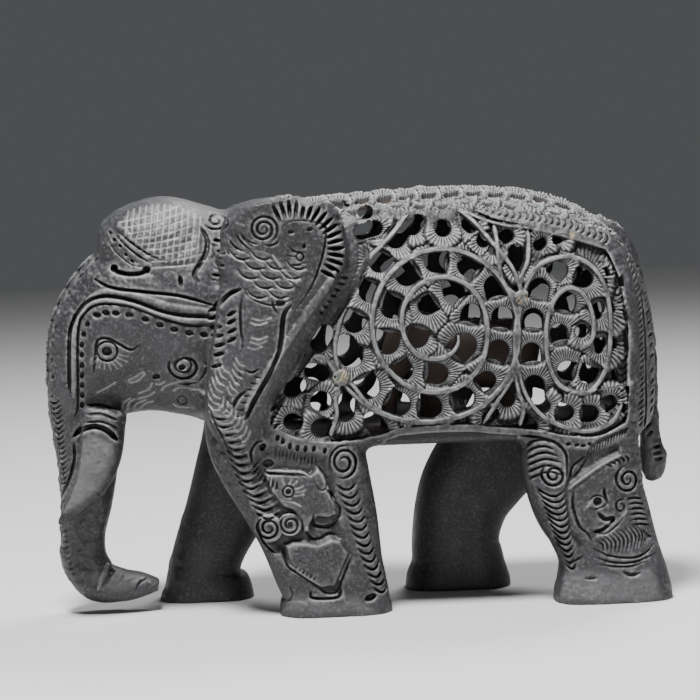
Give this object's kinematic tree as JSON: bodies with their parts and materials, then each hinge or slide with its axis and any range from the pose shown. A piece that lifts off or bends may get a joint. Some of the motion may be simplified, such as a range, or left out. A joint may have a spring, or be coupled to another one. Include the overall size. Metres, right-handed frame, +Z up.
{
  "type": "pierced soapstone elephant",
  "caption": "Carved stone elephant in mid-step, its hollow body pierced with leafy scrolls around a small calf, with tusks, raised ears and flat soles.",
  "frame": {"origin": "middle of the bounding box, on the ground under the soles", "axes": "+X from the head to the tail, +Y across the body, +Z up"},
  "size_m": [0.2496, 0.0924, 0.1668],
  "materials": {
    "stone": "dark grey soapstone, rubbed paler on the raised lines and dark in the cuts"
  },
  "bodies": {
    "root": {"elephant": "stone"}
  },
  "joints": []
}
